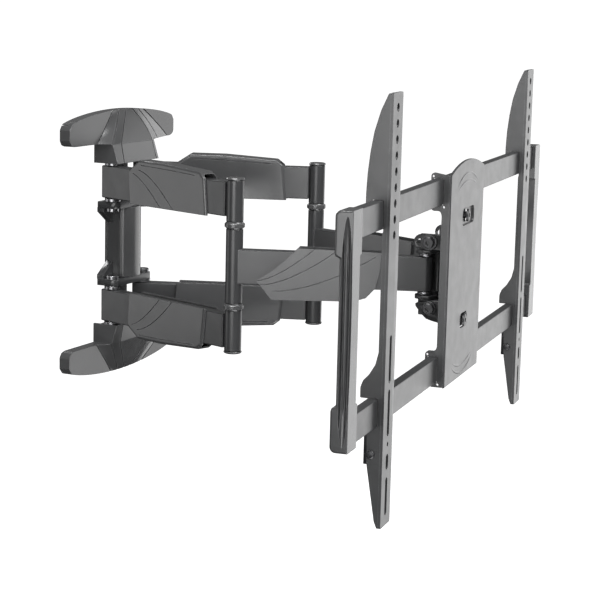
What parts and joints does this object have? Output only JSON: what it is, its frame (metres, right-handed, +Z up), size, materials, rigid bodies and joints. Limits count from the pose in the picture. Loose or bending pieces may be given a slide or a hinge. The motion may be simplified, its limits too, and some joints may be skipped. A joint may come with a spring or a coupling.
{
  "type": "full motion tv wall mount",
  "caption": "Wall bracket for a television: paired folding arms carry a swivelling, tilting plate with two rails and sliding slotted uprights.",
  "frame": {"origin": "on the wall, at the middle of the wall plate's back face", "axes": "+Y into the wall, -Y out into the room towards the viewer, +Z up, +X to the viewer's right"},
  "size_m": [0.8147, 0.5008, 0.431],
  "materials": {
    "painted_steel": "fine satin black powder coat",
    "moulded_plastic": "dark grey moulded plastic with a fine grain",
    "zinc_steel": "plain zinc plated pin",
    "dark_fastener": "black oxide steel"
  },
  "bodies": {
    "wall_side": {"wall_plate": "painted_steel", "column_cover": "moulded_plastic", "pivot_bracket_upper": "painted_steel", "pivot_bracket_lower": "painted_steel", "wall_cover_upper": "moulded_plastic", "wall_cover_lower": "moulded_plastic", "wall_pin_upper_left": "zinc_steel", "wall_pin_upper_right": "zinc_steel", "wall_pin_lower_left": "zinc_steel", "wall_pin_lower_right": "zinc_steel"},
    "rear_arms_left": {"rear_arm_upper_left": "painted_steel", "arm_cover_upper_left": "moulded_plastic", "elbow_ring_upper_left": "moulded_plastic", "elbow_cap_upper_left": "moulded_plastic", "rear_arm_lower_left": "painted_steel", "arm_cover_lower_left": "moulded_plastic", "elbow_ring_lower_left": "moulded_plastic", "elbow_cap_lower_left": "moulded_plastic", "elbow_pin_left": "zinc_steel"},
    "front_arm_left": {"front_arm_left": "painted_steel", "front_cover_left": "moulded_plastic"},
    "rear_arms_right": {"rear_arm_upper_right": "painted_steel", "arm_cover_upper_right": "moulded_plastic", "elbow_ring_upper_right": "moulded_plastic", "elbow_cap_upper_right": "moulded_plastic", "rear_arm_lower_right": "painted_steel", "arm_cover_lower_right": "moulded_plastic", "elbow_ring_lower_right": "moulded_plastic", "elbow_cap_lower_right": "moulded_plastic", "elbow_pin_right": "zinc_steel"},
    "front_arm_right": {"front_arm_right": "painted_steel", "front_cover_right": "moulded_plastic"},
    "yoke": {"yoke": "painted_steel", "wrist_pin_left": "zinc_steel", "wrist_pin_right": "zinc_steel"},
    "swivel_head": {"swivel_pin": "zinc_steel", "swivel_block_upper": "painted_steel", "swivel_block_lower": "painted_steel", "tilt_bolt_left": "dark_fastener", "tilt_bolt_right": "dark_fastener", "lock_bolt_left": "dark_fastener", "lock_bolt_right": "dark_fastener"},
    "tilt_frame": {"tilt_bracket": "painted_steel", "level_pivot_bolt": "dark_fastener", "level_lock_bolt": "dark_fastener"},
    "screen_frame": {"screen_plate": "painted_steel", "rail_upper": "painted_steel", "rail_lower": "painted_steel", "end_cap_left": "moulded_plastic", "end_cap_right": "moulded_plastic"},
    "upright_left": {"upright_left": "painted_steel", "latch_screw_left": "dark_fastener"},
    "latch_left": {"latch_left": "dark_fastener"},
    "upright_right": {"upright_right": "painted_steel", "latch_screw_right": "dark_fastener"},
    "latch_right": {"latch_right": "dark_fastener"}
  },
  "joints": [
    {"name": "arm_fold", "type": "hinge", "parent": "wall_side", "child": "rear_arms_left", "pos_m": [-0.036, -0.0215, 0], "axis": [0, 0, -1], "range_deg": [-14, 50]},
    {"name": "elbow_left", "type": "hinge", "parent": "rear_arms_left", "child": "front_arm_left", "pos_m": [-0.10706, -0.22442, 0], "axis": [0, 0, 1], "range_deg": [-28, 100]},
    {"name": "wrist_left", "type": "hinge", "parent": "front_arm_left", "child": "yoke", "pos_m": [-0.036, -0.42733, 0], "axis": [0, 0, 1], "range_deg": [-50, 14]},
    {"name": "rear_right", "type": "hinge", "parent": "wall_side", "child": "rear_arms_right", "pos_m": [0.036, -0.0215, 0], "axis": [0, 0, 1], "range_deg": [-14, 50]},
    {"name": "elbow_right", "type": "hinge", "parent": "rear_arms_right", "child": "front_arm_right", "pos_m": [0.10706, -0.22442, 0], "axis": [0, 0, -1], "range_deg": [-28, 100]},
    {"name": "swivel", "type": "hinge", "parent": "yoke", "child": "swivel_head", "pos_m": [0, -0.42733, 0], "axis": [0, 0, 1], "range_deg": [-20.5, 7.4]},
    {"name": "tilt", "type": "hinge", "parent": "swivel_head", "child": "tilt_frame", "pos_m": [0.00051, -0.4318, -0.037], "axis": [0.9935, 0.1141, 0], "range_deg": [-2, 8]},
    {"name": "level", "type": "hinge", "parent": "tilt_frame", "child": "screen_frame", "pos_m": [0.00342, -0.45714, -0.055], "axis": [-0.1141, 0.9935, 0], "range_deg": [-3, 3]},
    {"name": "upright_left_slide", "type": "slide", "parent": "screen_frame", "child": "upright_left", "axis": [0.9935, 0.1141, 0], "range_m": [-0.07, 0.18]},
    {"name": "upright_right_slide", "type": "slide", "parent": "screen_frame", "child": "upright_right", "axis": [0.9935, 0.1141, 0], "range_m": [-0.21, 0.04]},
    {"name": "latch_left_slide", "type": "slide", "parent": "upright_left", "child": "latch_left", "axis": [0, 0, 1], "range_m": [-0.012, 0]},
    {"name": "latch_right_slide", "type": "slide", "parent": "upright_right", "child": "latch_right", "axis": [0, 0, 1], "range_m": [-0.012, 0]}
  ],
  "couplings": [
    {"joint": "elbow_left", "follows": "arm_fold", "ratio": 2},
    {"joint": "wrist_left", "follows": "arm_fold", "ratio": -1},
    {"joint": "rear_right", "follows": "arm_fold", "ratio": 1},
    {"joint": "elbow_right", "follows": "arm_fold", "ratio": 2}
  ]
}
